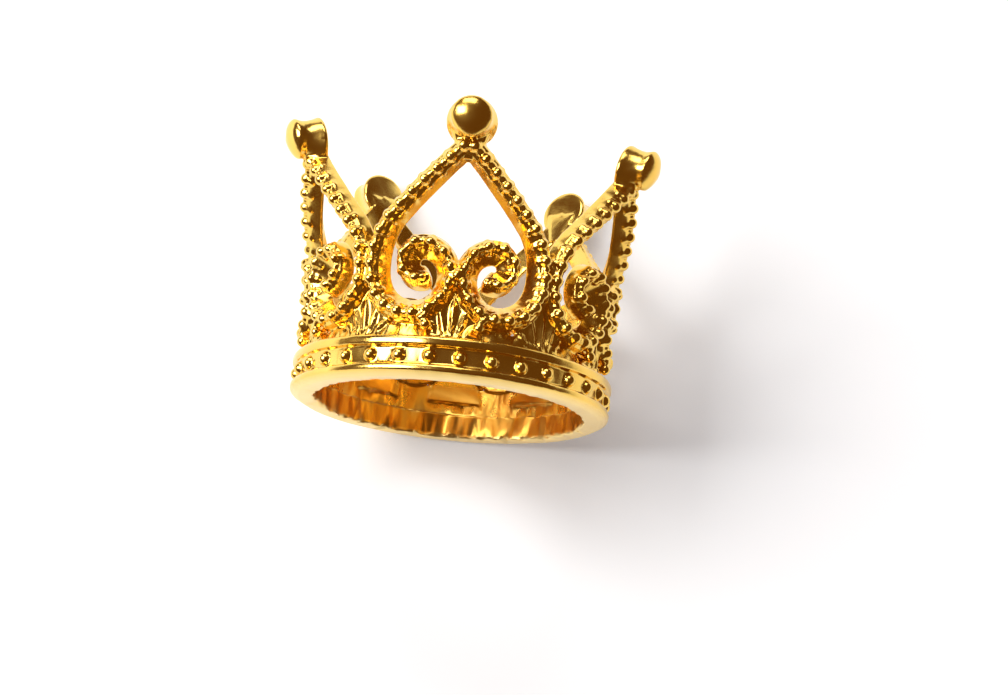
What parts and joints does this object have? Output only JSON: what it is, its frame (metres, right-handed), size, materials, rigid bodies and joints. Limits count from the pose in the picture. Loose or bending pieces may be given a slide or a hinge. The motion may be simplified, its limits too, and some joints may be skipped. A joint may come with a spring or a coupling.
{
  "type": "miniature cast metal crown",
  "caption": "Small gold plated crown cast in one piece, with a beaded band, pointed scroll arches and domed tips, for trimming a doll, a cake or a jewel.",
  "frame": {"origin": "on the axis of the band's round hole, at the flat underside of the band", "axes": "+Z along the crown's axis, up through the points; the middle of one arch faces -Y"},
  "size_m": [0.033, 0.0317, 0.0246],
  "materials": {
    "gold_plate": "bright gold plate on a casting"
  },
  "bodies": {
    "root": {"crown": "gold_plate"}
  },
  "joints": []
}
